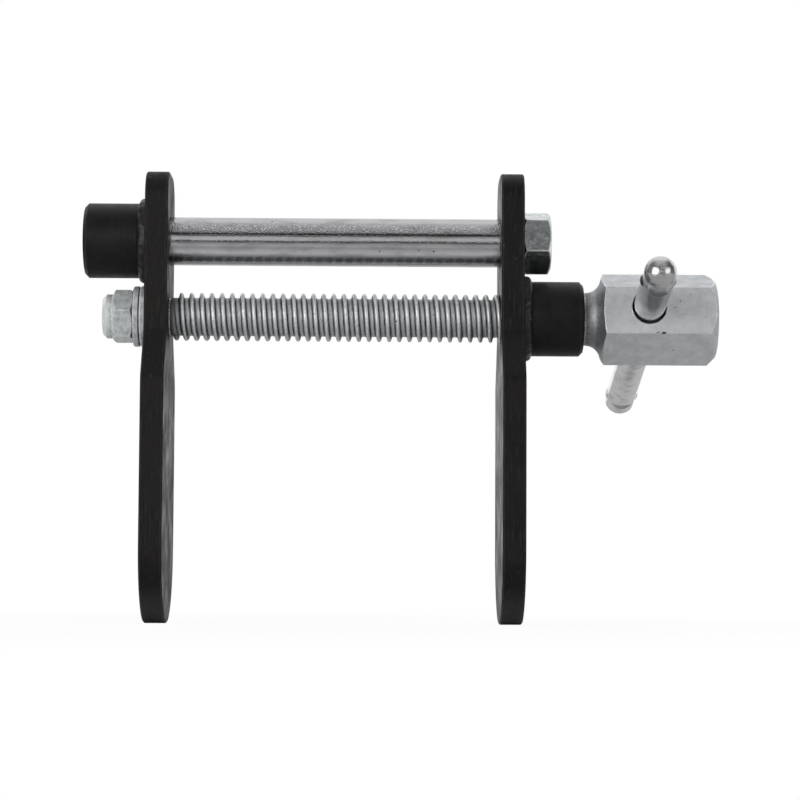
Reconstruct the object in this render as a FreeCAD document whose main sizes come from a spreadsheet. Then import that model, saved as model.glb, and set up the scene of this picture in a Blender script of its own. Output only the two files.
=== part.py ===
import FreeCAD, Part

import math
import os

import Sketcher
from FreeCAD import Vector

# Brake caliper piston tool: two steel paddles on a guide rod and a lead screw.
# X runs along the screw from the fixed paddle to the turning head, Z is up and
# Y runs front to back. The origin is the middle of the fixed paddle's pad, on
# the inner face. All sizes are in millimetres and degrees.

DIMENSIONS = [
    # Paddles
    ("jaw_opening", 130.0),
    ("plate_thickness", 9.0),
    ("plate_top_width", 36.0),
    ("plate_pad_width", 60.0),
    ("plate_top_rise", 26.5),
    ("axis_spacing", 30.0),
    ("pad_centre_drop", 75.0),
    ("shoulder_drop", 7.5),
    ("shoulder_slope", 18.0),
    ("plate_foot_drop", 120.5),
    ("top_corner_radius", 11.0),
    ("shoulder_blend", 8.0),
    ("plate_edge_break", 0.5),
    # Bushes and their weld beads
    ("bush_diameter", 29.5),
    ("guide_bush_length", 24.5),
    ("threaded_bush_length", 23.7),
    ("bush_rim_chamfer", 1.4),
    ("bore_mouth_chamfer", 0.8),
    ("weld_radial_leg", 2.4),
    ("weld_axial_leg", 3.6),
    # Guide rod
    ("rod_diameter", 19.0),
    ("running_clearance", 0.06),
    ("plate_hole_clearance", 0.3),
    ("rod_seat_depth", 1.5),
    ("rod_seat_clearance", 0.6),
    ("rod_end_inset", 2.0),
    ("rod_end_chamfer", 1.2),
    ("stud_diameter", 14.0),
    ("thread_fit_clearance", 0.05),
    ("stud_end_inset", 0.5),
    # Hexagon nut on the guide rod
    ("rod_nut_flats", 22.0),
    ("rod_nut_height", 11.0),
    ("rod_nut_turn_angle", 10.0),
    # Lead screw
    ("screw_diameter", 19.0),
    ("screw_core_diameter", 15.0),
    ("core_collar_length", 3.1),
    ("collar_recess_depth", 1.2),
    ("axial_play", 0.3),
    ("spigot_diameter", 12.0),
    ("neck_diameter", 20.8),
    ("neck_length", 7.0),
    ("neck_land", 0.7),
    ("neck_gap", 0.3),
    ("head_flats", 32.0),
    ("head_length", 45.0),
    ("head_turn_angle", 7.7),
    ("head_end_face_share", 0.944),
    ("head_end_chamfer_angle", 45.0),
    ("head_neck_chamfer_angle", 18.0),
    ("cross_hole_diameter", 13.6),
    ("cross_hole_offset", 17.8),
    ("cross_hole_lean_angle", 5.0),
    # Turned corners of every hexagon: their face circle and reach over half flats
    ("hex_face_share", 0.97),
    ("hex_reach_share", 1.25),
    ("hex_chamfer_angle", 30.0),
    # Washers and lock nut on the screw's spigot
    ("washer_diameter", 24.0),
    ("washer_bore", 13.0),
    ("washer_thickness", 2.5),
    ("washer_edge_chamfer", 0.4),
    ("washer_gap", 0.15),
    ("lock_nut_flats", 19.0),
    ("lock_nut_height", 12.0),
    ("lock_nut_hex_height", 8.0),
    ("lock_nut_turn_angle", 37.0),
    ("lock_collar_diameter", 17.6),
    ("lock_collar_bevel", 1.5),
    ("lock_collar_mouth", 13.2),
    ("lock_collar_wall", 1.0),
    ("insert_thickness", 2.4),
    # Sliding bar through the head
    ("bar_diameter", 12.5),
    ("bar_length", 170.0),
    ("bar_front_reach", 59.5),
    ("bar_tilt_angle", 0.7),
    ("bar_dome_height", 5.0),
    ("ear_from_end", 14.0),
    ("ear_span", 14.0),
    ("ear_length", 9.0),
    ("ear_thickness", 9.3),
    ("notch_depth", 1.5),
    ("notch_length", 5.4),
    # How far every cut runs out past the face that it starts from
    ("cut_overrun", 2.0),
]

HEX_HALF_SIDE = math.tan(math.radians(30.0))
NUMBER_OF_EARS = 2
EDGE_MATCH = 0.01
LEAST_CUT = 0.01
LEFT = 1


class Size:
    """A length with its value and the sheet expression that gives it."""

    def __init__(self, value, text):
        self.value = value
        self.text = text

    def combined(self, sign, other, value):
        return Size(value, "(" + self.text + sign + other.text + ")")

    def __add__(self, other):
        other = as_size(other)
        return self.combined(" + ", other, self.value + other.value)

    def __sub__(self, other):
        other = as_size(other)
        return self.combined(" - ", other, self.value - other.value)

    def __mul__(self, other):
        other = as_size(other)
        return self.combined(" * ", other, self.value * other.value)

    def __truediv__(self, other):
        other = as_size(other)
        return self.combined(" / ", other, self.value / other.value)

    def __neg__(self):
        return Size(-self.value, "(0 - " + self.text + ")")


def as_size(number):
    if isinstance(number, Size):
        return number
    return Size(float(number), "(" + repr(float(number)) + ")")


def tangent(angle):
    return Size(math.tan(math.radians(angle.value)), "tan(" + angle.text + " * 1 deg)")


doc = FreeCAD.newDocument("CaliperTool")
sheet = doc.addObject("Spreadsheet::Sheet", "Sizes")
for row, (alias, number) in enumerate(DIMENSIONS, start=1):
    sheet.set("A" + str(row), alias)
    sheet.set("B" + str(row), str(number))
    sheet.setAlias("B" + str(row), alias)
doc.recompute()


def size(alias):
    return Size(float(sheet.get(alias)), "Sizes." + alias)


def bind(target, path, amount):
    target.setExpression(path, as_size(amount).text)


def new_body(name):
    body = doc.addObject("PartDesign::Body", name)
    body.Label = name
    return body


def origin_plane(body, role):
    for feature in body.Origin.OriginFeatures:
        if feature.Role == role:
            return feature
    raise RuntimeError("no plane " + role)


def new_sketch(body, name, role):
    sketch = body.newObject("Sketcher::SketchObject", name)
    sketch.AttachmentSupport = (origin_plane(body, role), [""])
    sketch.MapMode = "FlatFace"
    return sketch


def fix_coordinate(sketch, kind, axis, element, amount):
    """Tie one coordinate of a sketch point to its size, or put it on the axis."""
    geometry, position = element
    if not isinstance(amount, Size):
        sketch.addConstraint(Sketcher.Constraint("PointOnObject", geometry, position, axis))
        return
    index = sketch.addConstraint(Sketcher.Constraint(kind, -1, 1, geometry, position, amount.value))
    sketch.setExpression("Constraints[" + str(index) + "]", amount.text)


def fix_point(sketch, element, point):
    fix_coordinate(sketch, "DistanceX", -2, element, point[0])
    fix_coordinate(sketch, "DistanceY", -1, element, point[1])


def as_vector(point):
    return Vector(as_size(point[0]).value, as_size(point[1]).value, 0)


def add_arc(sketch, start, end, radius, centre_side):
    """Add the short arc between two points and return the ends' positions."""
    chord = end - start
    middle = (start + end) * 0.5
    side = Vector(-chord.y, chord.x, 0).normalize() * centre_side
    height = math.sqrt(max(radius.value ** 2 - chord.Length ** 2 / 4, 0))
    centre = middle + side * height
    first = math.atan2(start.y - centre.y, start.x - centre.x)
    last = math.atan2(end.y - centre.y, end.x - centre.x)
    turn = (last - first) % (2 * math.pi)
    circle = Part.Circle(centre, Vector(0, 0, 1), radius.value)
    if turn <= math.pi:
        index = sketch.addGeometry(Part.ArcOfCircle(circle, first, first + turn), False)
        positions = (1, 2)
    else:
        index = sketch.addGeometry(Part.ArcOfCircle(circle, last, last + 2 * math.pi - turn), False)
        positions = (2, 1)
    constraint = sketch.addConstraint(Sketcher.Constraint("Radius", index, radius.value))
    sketch.setExpression("Constraints[" + str(constraint) + "]", radius.text)
    return index, positions


def outline(body, name, role, points, arcs=None):
    """A closed sketch through points, with arcs after the points that arcs names.

    An arc is given as its radius and the side of its centre on the way from its
    point to the next: LEFT, or -LEFT for the right.
    """
    arcs = arcs or {}
    sketch = new_sketch(body, name, role)
    edges = []
    for number, point in enumerate(points):
        start = as_vector(point)
        end = as_vector(points[(number + 1) % len(points)])
        if number in arcs:
            radius, centre_side = arcs[number]
            edges.append(add_arc(sketch, start, end, radius, centre_side))
        else:
            index = sketch.addGeometry(Part.LineSegment(start, end), False)
            edges.append((index, (1, 2)))
    for number, (index, positions) in enumerate(edges):
        following, next_positions = edges[(number + 1) % len(edges)]
        sketch.addConstraint(Sketcher.Constraint(
            "Coincident", index, positions[1], following, next_positions[0]))
        fix_point(sketch, (index, positions[0]), points[number])
    doc.recompute()
    return sketch


def turned(body, name, points, arcs=None):
    """Turn a profile of (along X, radius) points about the X axis."""
    sketch = outline(body, name + "_profile", "XY_Plane", points, arcs)
    feature = body.newObject("PartDesign::Revolution", name)
    feature.Profile = sketch
    feature.ReferenceAxis = (sketch, ["H_Axis"])
    feature.Angle = 360
    doc.recompute()
    return feature


def turn_about_x(item, place, turn):
    """Set the turn about X in one of the placements of a body or sketch."""
    setattr(item, place, FreeCAD.Placement(Vector(0, 0, 0), FreeCAD.Rotation(Vector(1, 0, 0), turn.value)))
    bind(item, place + ".Rotation.Angle", turn)


def must_cut(body, volume_before, name):
    if body.Shape.Volume >= volume_before - LEAST_CUT:
        raise RuntimeError(name + " removed nothing")


def turned_cut(body, name, points, arcs=None):
    """Cut a profile of (along X, radius) points turned about the X axis."""
    before = body.Shape.Volume
    sketch = outline(body, name + "_profile", "XY_Plane", points, arcs)
    feature = body.newObject("PartDesign::Groove", name)
    feature.Profile = sketch
    feature.ReferenceAxis = (sketch, ["H_Axis"])
    feature.Angle = 360
    doc.recompute()
    must_cut(body, before, name)
    return feature


def cut_about_line(body, name, role, points, line, lean=None):
    """Cut a closed profile turned about a construction line in its own sketch, leant about X."""
    before = body.Shape.Volume
    sketch = outline(body, name + "_profile", role, points)
    if lean is not None:
        turn_about_x(sketch, "AttachmentOffset", lean)
    start, end = line
    axis = sketch.addGeometry(Part.LineSegment(as_vector(start), as_vector(end)), True)
    fix_point(sketch, (axis, 1), start)
    fix_point(sketch, (axis, 2), end)
    doc.recompute()
    feature = body.newObject("PartDesign::Groove", name)
    feature.Profile = sketch
    feature.ReferenceAxis = (sketch, ["Axis0"])
    feature.Angle = 360
    doc.recompute()
    must_cut(body, before, name)
    return feature


def padded(body, name, sketch, length):
    feature = body.newObject("PartDesign::Pad", name)
    feature.Profile = sketch
    bind(feature, "Length", length)
    doc.recompute()
    return feature


def hexagon(body, name, flats):
    """A hexagon across X with its flats facing front and back."""
    half = flats / 2
    side = half * HEX_HALF_SIDE
    points = [
        (half, -side),
        (half, side),
        (0, side * 2),
        (-half, side),
        (-half, -side),
        (0, -side * 2),
    ]
    return outline(body, name, "YZ_Plane", points)


def hexagon_face_radius(flats, share="hex_face_share"):
    """The circle that is left on a hexagon's end when its corners are turned off."""
    return size(share) * flats / 2


def chamfer_hexagon_end(body, name, end, inward, flats, share="hex_face_share", angle="hex_chamfer_angle"):
    """Turn the corners off one end of a hexagon, as a lathe faces bar stock."""
    face_radius = hexagon_face_radius(flats, share)
    corner_radius = size("hex_reach_share") * flats / 2
    depth = (corner_radius - face_radius) * tangent(size(angle))
    points = [(end, face_radius), (end, corner_radius), (end + depth * inward, corner_radius)]
    turned_cut(body, name, points)


def lay_at(body, x=0, z=0, turn=None):
    """Seat a sub-part: shift along X and Z, and turn it about the X axis."""
    bind(body, "Placement.Base.x", x)
    bind(body, "Placement.Base.z", z)
    if turn is not None:
        turn_about_x(body, "Placement", turn)
    doc.recompute()


# Heights and places shared by the pieces
screw_height = size("pad_centre_drop")
rod_height = screw_height + size("axis_spacing")
plate_thickness = size("plate_thickness")
jaw_opening = size("jaw_opening")
fixed_outer_face = -plate_thickness
moving_outer_face = jaw_opening + plate_thickness
rod_radius = size("rod_diameter") / 2
screw_radius = size("screw_diameter") / 2
bush_radius = size("bush_diameter") / 2
running_clearance = size("running_clearance")
plate_hole_clearance = size("plate_hole_clearance")
cut_overrun = size("cut_overrun")
thread_fit_clearance = size("thread_fit_clearance")


# Paddles: cut from flat bar, narrow at the screw and rod, wide at the pad, with a
# full round foot
def plate_edges(shape, places):
    """The edges along X through the given places across the plate."""
    found = []
    for number, edge in enumerate(shape.Edges, start=1):
        middle = edge.CenterOfMass
        along = edge.Length - plate_thickness.value
        for across, height in places:
            misses = [abs(middle.y) - across.value, middle.z - height.value, along]
            if all(abs(miss) < EDGE_MATCH for miss in misses):
                found.append("Edge" + str(number))
    return found


def face_outline_edges(shape):
    """The outer edges of the two broad faces, without the holes."""
    rims = []
    for face in shape.Faces:
        normal = face.normalAt(0, 0)
        if face.Surface.TypeId == "Part::GeomPlane" and abs(normal.y) + abs(normal.z) < EDGE_MATCH:
            rims.extend(edge.hashCode() for edge in face.OuterWire.Edges)
    return ["Edge" + str(n) for n, edge in enumerate(shape.Edges, start=1) if edge.hashCode() in rims]


def rounded(body, name, edges, radius):
    base = body.Tip
    feature = body.newObject("PartDesign::Fillet", name)
    feature.Base = (base, edges)
    bind(feature, "Radius", radius)
    doc.recompute()
    return feature


def broken(body, name, edges, width):
    base = body.Tip
    feature = body.newObject("PartDesign::Chamfer", name)
    feature.Base = (base, edges)
    bind(feature, "Size", width)
    doc.recompute()
    return feature


def plate_blank(name):
    body = new_body(name)
    half_top = size("plate_top_width") / 2
    half_pad = size("plate_pad_width") / 2
    top = rod_height + size("plate_top_rise")
    shoulder = screw_height - size("shoulder_drop")
    pad = shoulder - size("shoulder_slope")
    foot = screw_height - size("plate_foot_drop")
    right = [(half_pad, foot + half_pad), (half_pad, pad), (half_top, shoulder), (half_top, top)]
    left = [(-across, height) for across, height in reversed(right)]
    points = [(0, foot)] + right + left
    round_foot = {0: (half_pad, LEFT), len(points) - 1: (half_pad, LEFT)}
    sketch = outline(body, name + "_outline", "YZ_Plane", points, round_foot)
    padded(body, name + "_blank", sketch, plate_thickness)
    corners = [
        ("top_corners", [(half_top, top)], size("top_corner_radius")),
        ("shoulders", [(half_top, shoulder), (half_pad, pad)], size("shoulder_blend")),
    ]
    for part, places, radius in corners:
        rounded(body, name + "_" + part, plate_edges(body.Shape, places), radius)
    broken(body, name + "_rims", face_outline_edges(body.Shape), size("plate_edge_break"))
    return body


def plate_hole(body, name, height, steps):
    """A stepped round hole along X; steps are (from, to, radius) in order."""
    points = [(steps[0][0], height)]
    for start, end, radius in steps:
        points.append((start, height + radius))
        points.append((end, height + radius))
    points.append((steps[-1][1], height))
    line = (points[0], points[-1])
    cut_about_line(body, name, "XZ_Plane", points, line)


spigot_radius = size("spigot_diameter") / 2
core_radius = size("screw_core_diameter") / 2
recess_depth = size("collar_recess_depth")

fixed_plate = plate_blank("fixed_plate")
plate_hole(fixed_plate, "rod_hole", rod_height, [
    (-cut_overrun, plate_thickness + cut_overrun, rod_radius + plate_hole_clearance)])
plate_hole(fixed_plate, "spigot_hole", screw_height, [
    (-cut_overrun, plate_thickness - recess_depth, spigot_radius + plate_hole_clearance),
    (plate_thickness - recess_depth, plate_thickness + cut_overrun, core_radius + plate_hole_clearance)])
lay_at(fixed_plate, x=fixed_outer_face)

stud_radius = size("stud_diameter") / 2
sliding_plate = plate_blank("sliding_plate")
plate_hole(sliding_plate, "screw_hole", screw_height, [
    (-cut_overrun, plate_thickness + cut_overrun, screw_radius + plate_hole_clearance)])
plate_hole(sliding_plate, "stud_hole", rod_height, [
    (-cut_overrun, size("rod_seat_depth"), rod_radius + size("rod_seat_clearance")),
    (size("rod_seat_depth"), plate_thickness + cut_overrun, stud_radius + plate_hole_clearance)])
lay_at(sliding_plate, x=jaw_opening)


# Bushes: turned from round bar and welded square to the paddles' outer faces
def turned_bush(name, length, bore_radius, rim_side):
    """A bush from X = 0 outwards; rim_side is 1 or -1 for the way it points."""
    body = new_body(name)
    rim = size("bush_rim_chamfer")
    mouth = size("bore_mouth_chamfer")
    points = [
        (0, bore_radius),
        (0, bush_radius),
        ((length - rim) * rim_side, bush_radius),
        (length * rim_side, bush_radius - rim),
        (length * rim_side, bore_radius + mouth),
        ((length - mouth) * rim_side, bore_radius),
    ]
    turned(body, name + "_turning", points)
    return body


def weld_bead(name, rim_side):
    """The fillet weld in the corner between a bush and its paddle."""
    body = new_body(name)
    radial = size("weld_radial_leg")
    axial = size("weld_axial_leg")
    points = [(0, bush_radius), (0, bush_radius + radial), (axial * rim_side, bush_radius)]
    turned(body, name + "_run", points)
    return body


guide_bush = turned_bush("guide_bush", size("guide_bush_length"), rod_radius + running_clearance, -1)
lay_at(guide_bush, x=fixed_outer_face, z=rod_height)
guide_bush_weld = weld_bead("guide_bush_weld", -1)
lay_at(guide_bush_weld, x=fixed_outer_face, z=rod_height)

threaded_bush = turned_bush(
    "threaded_bush", size("threaded_bush_length"), screw_radius + running_clearance, 1)
lay_at(threaded_bush, x=moving_outer_face, z=screw_height)
threaded_bush_weld = weld_bead("threaded_bush_weld", 1)
lay_at(threaded_bush_weld, x=moving_outer_face, z=screw_height)

# Guide rod: smooth bar, shouldered down to a stud that the nut pulls tight
rod_shoulder = jaw_opening + size("rod_seat_depth")
stud_end = moving_outer_face + size("rod_nut_height") - size("stud_end_inset")
rod_tip = fixed_outer_face - size("guide_bush_length") + size("rod_end_inset")
rod_chamfer = size("rod_end_chamfer")
guide_rod = new_body("guide_rod")
turned(guide_rod, "rod_turning", [
    (rod_tip, 0),
    (rod_tip, rod_radius - rod_chamfer),
    (rod_tip + rod_chamfer, rod_radius),
    (rod_shoulder, rod_radius),
    (rod_shoulder, stud_radius),
    (stud_end - rod_chamfer, stud_radius),
    (stud_end, stud_radius - rod_chamfer),
    (stud_end, 0),
])
lay_at(guide_rod, z=rod_height)

# Hexagon nut on the stud
nut_bore = stud_radius + thread_fit_clearance
rod_nut_height = size("rod_nut_height")
rod_nut = new_body("rod_nut")
padded(rod_nut, "rod_nut_blank", hexagon(rod_nut, "rod_nut_hexagon", size("rod_nut_flats")), rod_nut_height)
chamfer_hexagon_end(rod_nut, "rod_nut_seat_chamfer", as_size(0), 1, size("rod_nut_flats"))
chamfer_hexagon_end(rod_nut, "rod_nut_face_chamfer", rod_nut_height, -1, size("rod_nut_flats"))
nut_mouth = size("bore_mouth_chamfer")
turned_cut(rod_nut, "rod_nut_bore", [
    (0, 0),
    (0, nut_bore),
    (rod_nut_height - nut_mouth, nut_bore),
    (rod_nut_height, nut_bore + nut_mouth),
    (rod_nut_height, 0),
])
lay_at(rod_nut, x=moving_outer_face, z=rod_height, turn=-size("rod_nut_turn_angle"))

# Lead screw: one piece, from the spigot in the fixed paddle to the hexagon head.
# The screwed length is a plain shank of the thread's outer diameter.
washer_thickness = size("washer_thickness")
washer_gap = size("washer_gap")
lock_nut_face = fixed_outer_face - washer_thickness * 2 - washer_gap
spigot_end = lock_nut_face - size("lock_nut_height") + size("lock_collar_wall")
shoulder_seat = -recess_depth + size("axial_play")
thread_start = shoulder_seat + size("core_collar_length")
neck_start = moving_outer_face + size("threaded_bush_length") + size("neck_gap")
head_start = neck_start + size("neck_length")
head_end = head_start + size("head_length")
neck_radius = size("neck_diameter") / 2
flare_radius = hexagon_face_radius(size("head_flats"))
flare_rise = flare_radius - neck_radius
flare_run = size("neck_length") - size("neck_land")
neck_hollow_radius = (flare_run * flare_run + flare_rise * flare_rise) / (flare_rise * 2)
spigot_chamfer = size("rod_end_chamfer")
thread_chamfer = (screw_radius - core_radius) / 2
lead_screw = new_body("lead_screw")
turned(lead_screw, "screw_turning", [
    (spigot_end, 0),
    (spigot_end, spigot_radius - spigot_chamfer),
    (spigot_end + spigot_chamfer, spigot_radius),
    (shoulder_seat, spigot_radius),
    (shoulder_seat, core_radius),
    (thread_start, core_radius),
    (thread_start + thread_chamfer, screw_radius),
    (neck_start, screw_radius),
    (neck_start, neck_radius),
    (head_start - flare_run, neck_radius),
    (head_start, flare_radius),
    (head_end, neck_radius),
    (head_end, 0),
], {9: (neck_hollow_radius, LEFT)})
head_sketch = hexagon(lead_screw, "head_hexagon", size("head_flats"))
bind(head_sketch, "AttachmentOffset.Base.z", head_start)
padded(lead_screw, "head_blank", head_sketch, size("head_length"))
chamfer_hexagon_end(
    lead_screw, "head_neck_chamfer", head_start, 1, size("head_flats"), angle="head_neck_chamfer_angle")
chamfer_hexagon_end(
    lead_screw, "head_end_chamfer", head_end, -1, size("head_flats"),
    share="head_end_face_share", angle="head_end_chamfer_angle")

hole_centre = head_start + size("cross_hole_offset")
hole_reach = size("head_flats") / 2 + cut_overrun
hole_side = hole_centre + size("cross_hole_diameter") / 2
cut_about_line(lead_screw, "cross_hole", "XY_Plane", [
    (hole_centre, -hole_reach),
    (hole_side, -hole_reach),
    (hole_side, hole_reach),
    (hole_centre, hole_reach),
], ((hole_centre, -hole_reach), (hole_centre, hole_reach)), lean=-size("cross_hole_lean_angle"))
lay_at(lead_screw, z=screw_height, turn=-size("head_turn_angle"))


# Washers: stamped rings between the fixed paddle and the lock nut
def washer(name, near_face):
    body = new_body(name)
    bore = size("washer_bore") / 2
    rim = size("washer_diameter") / 2
    edge = size("washer_edge_chamfer")
    turned(body, name + "_ring", [
        (0, bore),
        (0, rim - edge),
        (-edge, rim),
        (-washer_thickness + edge, rim),
        (-washer_thickness, rim - edge),
        (-washer_thickness, bore),
    ])
    lay_at(body, x=near_face, z=screw_height)
    return body


inner_washer = washer("inner_washer", fixed_outer_face)
outer_washer = washer("outer_washer", fixed_outer_face - washer_thickness - washer_gap)

# Lock nut: hexagon with a rolled collar that holds a nylon ring
lock_bore = spigot_radius + thread_fit_clearance
lock_height = size("lock_nut_height")
lock_hex = size("lock_nut_hex_height")
collar_radius = size("lock_collar_diameter") / 2
collar_mouth = size("lock_collar_mouth") / 2
collar_wall = size("lock_collar_wall")
insert_seat = lock_height - collar_wall - size("insert_thickness")
insert_pocket_radius = collar_radius - collar_wall
collar_bevel = size("lock_collar_bevel")
lock_nut = new_body("lock_nut")
lock_blank = hexagon(lock_nut, "lock_nut_hexagon", size("lock_nut_flats"))
bind(lock_blank, "AttachmentOffset.Base.z", -lock_hex)
padded(lock_nut, "lock_nut_blank", lock_blank, lock_hex)
chamfer_hexagon_end(lock_nut, "lock_nut_seat_chamfer", as_size(0), -1, size("lock_nut_flats"))
chamfer_hexagon_end(lock_nut, "lock_nut_collar_chamfer", -lock_hex, 1, size("lock_nut_flats"))
turned(lock_nut, "lock_nut_collar", [
    (-lock_hex / 2, 0),
    (-lock_hex / 2, collar_radius),
    (-lock_height + collar_bevel, collar_radius),
    (-lock_height, collar_radius - collar_bevel),
    (-lock_height, 0),
])
turned_cut(lock_nut, "lock_nut_bore", [
    (0, 0),
    (0, lock_bore),
    (-insert_seat, lock_bore),
    (-insert_seat, insert_pocket_radius),
    (-lock_height + collar_wall, insert_pocket_radius),
    (-lock_height + collar_wall, collar_mouth),
    (-lock_height, collar_mouth),
    (-lock_height, 0),
])
lay_at(lock_nut, x=lock_nut_face, z=screw_height, turn=-size("lock_nut_turn_angle"))

lock_insert = new_body("lock_nut_insert")
turned(lock_insert, "insert_ring", [
    (-insert_seat, lock_bore),
    (-insert_seat, insert_pocket_radius - thread_fit_clearance),
    (-lock_height + collar_wall, insert_pocket_radius - thread_fit_clearance),
    (-lock_height + collar_wall, lock_bore),
])
lay_at(lock_insert, x=lock_nut_face, z=screw_height)

# Sliding bar: round bar with domed ends, staked so that it can't fall out
bar_radius = size("bar_diameter") / 2
bar_half = size("bar_length") / 2
dome_height = size("bar_dome_height")
dome_radius = (bar_radius * bar_radius + dome_height * dome_height) / (dome_height * 2)
dome_start = bar_half - dome_height
slide_bar = new_body("slide_bar")
bar_sketch = outline(slide_bar, "bar_profile", "XY_Plane", [
    (0, -bar_half),
    (bar_radius, -dome_start),
    (bar_radius, dome_start),
    (0, bar_half),
], {0: (dome_radius, LEFT), 2: (dome_radius, LEFT)})
bar_turning = slide_bar.newObject("PartDesign::Revolution", "bar_turning")
bar_turning.Profile = bar_sketch
bar_turning.ReferenceAxis = (bar_sketch, ["V_Axis"])
bar_turning.Angle = 360
doc.recompute()

ear_centre = bar_half - size("ear_from_end")
notch_floor = bar_radius - size("notch_depth")
notch_top = bar_radius + cut_overrun
notch_half = size("notch_length") / 2 * (size("notch_depth") + cut_overrun) / size("notch_depth")
for number in range(NUMBER_OF_EARS):
    side = 1 - 2 * number
    ear = slide_bar.newObject("PartDesign::AdditiveEllipsoid", "ear_" + str(number + 1))
    ear.AttachmentSupport = (origin_plane(slide_bar, "XY_Plane"), [""])
    ear.MapMode = "FlatFace"
    bind(ear, "AttachmentOffset.Base.y", ear_centre * side)
    bind(ear, "Radius1", size("ear_thickness") / 2)
    bind(ear, "Radius2", size("ear_span") / 2)
    bind(ear, "Radius3", size("ear_length") / 2)
    doc.recompute()
for number in range(NUMBER_OF_EARS):
    side = 1 - 2 * number
    for face in (1, -1):
        before = slide_bar.Shape.Volume
        name = "notch_" + str(number + 1) + ("_top" if face > 0 else "_under")
        notch = outline(slide_bar, name + "_profile", "YZ_Plane", [
            (ear_centre * side, notch_floor * face),
            ((ear_centre + notch_half) * side, notch_top * face),
            ((ear_centre - notch_half) * side, notch_top * face),
        ])
        pocket = slide_bar.newObject("PartDesign::Pocket", name)
        pocket.Profile = notch
        pocket.Type = 1
        pocket.Midplane = True
        doc.recompute()
        must_cut(slide_bar, before, name)

bar_angle = size("head_turn_angle") + size("cross_hole_lean_angle") + size("bar_tilt_angle")
bar_shift = size("bar_front_reach") - bar_half
cosine = Size(math.cos(math.radians(bar_angle.value)), "cos(" + bar_angle.text + " * 1 deg)")
sine = Size(math.sin(math.radians(bar_angle.value)), "sin(" + bar_angle.text + " * 1 deg)")
lay_at(slide_bar, x=hole_centre, z=screw_height + bar_shift * sine, turn=-bar_angle)
bind(slide_bar, "Placement.Base.y", -(bar_shift * cosine))
doc.recompute()

# Checks on the finished document, then one file for each piece
pieces = [thing for thing in doc.Objects if thing.TypeId == "PartDesign::Body"]
for thing in doc.Objects:
    if "Invalid" in thing.State or "Error" in thing.State:
        raise RuntimeError(thing.Name + " failed")
for piece in pieces:
    if piece.Shape.isNull() or not piece.Shape.isValid():
        raise RuntimeError(piece.Label + " has no valid solid")

os.makedirs("parts", exist_ok=True)
for piece in pieces:
    piece.Shape.exportStep("parts/" + piece.Label + ".step")
    box = piece.Shape.BoundBox
    print(piece.Label, len(piece.Shape.Solids), round(piece.Shape.Volume, 1),
          [round(v, 2) for v in (box.XMin, box.XMax, box.YMin, box.YMax, box.ZMin, box.ZMax)])
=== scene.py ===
import math
import random

import bmesh
import bpy
from mathutils import Matrix, Vector


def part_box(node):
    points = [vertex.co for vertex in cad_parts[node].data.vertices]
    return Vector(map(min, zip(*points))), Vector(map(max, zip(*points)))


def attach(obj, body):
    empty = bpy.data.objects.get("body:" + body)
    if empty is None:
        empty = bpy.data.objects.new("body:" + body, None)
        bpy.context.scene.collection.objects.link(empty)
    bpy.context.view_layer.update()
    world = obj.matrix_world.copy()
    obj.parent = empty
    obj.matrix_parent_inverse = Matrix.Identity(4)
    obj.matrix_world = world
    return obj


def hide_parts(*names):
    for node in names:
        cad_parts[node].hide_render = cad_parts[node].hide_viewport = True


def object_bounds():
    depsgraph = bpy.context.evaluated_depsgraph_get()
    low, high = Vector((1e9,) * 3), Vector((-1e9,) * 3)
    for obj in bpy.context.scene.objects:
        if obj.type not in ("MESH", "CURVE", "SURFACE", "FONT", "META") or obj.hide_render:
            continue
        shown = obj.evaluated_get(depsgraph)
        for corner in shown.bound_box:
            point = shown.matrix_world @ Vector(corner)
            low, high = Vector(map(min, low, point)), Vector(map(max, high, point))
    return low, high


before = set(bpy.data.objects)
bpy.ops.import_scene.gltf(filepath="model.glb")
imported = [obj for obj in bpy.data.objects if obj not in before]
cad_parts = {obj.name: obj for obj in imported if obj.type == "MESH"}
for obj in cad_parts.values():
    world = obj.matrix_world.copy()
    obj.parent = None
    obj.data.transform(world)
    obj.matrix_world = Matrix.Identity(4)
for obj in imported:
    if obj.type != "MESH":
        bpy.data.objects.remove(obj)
cad_low, cad_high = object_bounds()


# The two paddles are one blank: 9 mm flat steel, flame cut to a narrow head and a wide pad with a round
# foot. The cut edge is ground and the whole paddle is stove blackened, so it is nearly black, with a
# little brown in it. The arrises have worn to a thin grey line, and the paddle is painted lighter
# towards the foot, a painted reflection of the white paper it stands on.
MM = 0.001
PLATE_BLACK = (0.0040, 0.0038, 0.0038, 1)
PLATE_BROWN = (0.0110, 0.0095, 0.0092, 1)
PLATE_RUBBED = (0.024, 0.0225, 0.0215, 1)
WORN_STEEL = (0.20, 0.195, 0.19, 1)
DUST = (0.36, 0.34, 0.31, 1)
PLATE_FOOT_REFLECTION = (0.052, 0.050, 0.0485, 1)
PLATE_SHEEN = (1.0, 0.975, 0.95, 1)
FOOT_REFLECTION_SPAN = (cad_low.z + 1.5 * MM, cad_low.z + 17 * MM)


def add_node(tree, kind, links=None, **settings):
    """A node in the tree. Each entry of links is a value for a socket, or the output that feeds it."""
    node = tree.nodes.new(kind)
    for name, value in settings.items():
        setattr(node, name, value)
    for socket, value in (links or {}).items():
        if isinstance(value, bpy.types.NodeSocket):
            tree.links.new(value, node.inputs[socket])
        else:
            node.inputs[socket].default_value = value
    return node


def add_math(tree, operation, *values):
    """The output of a Math node that works on the values or outputs given."""
    return add_node(tree, "ShaderNodeMath", dict(enumerate(values)), operation=operation).outputs[0]


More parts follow.
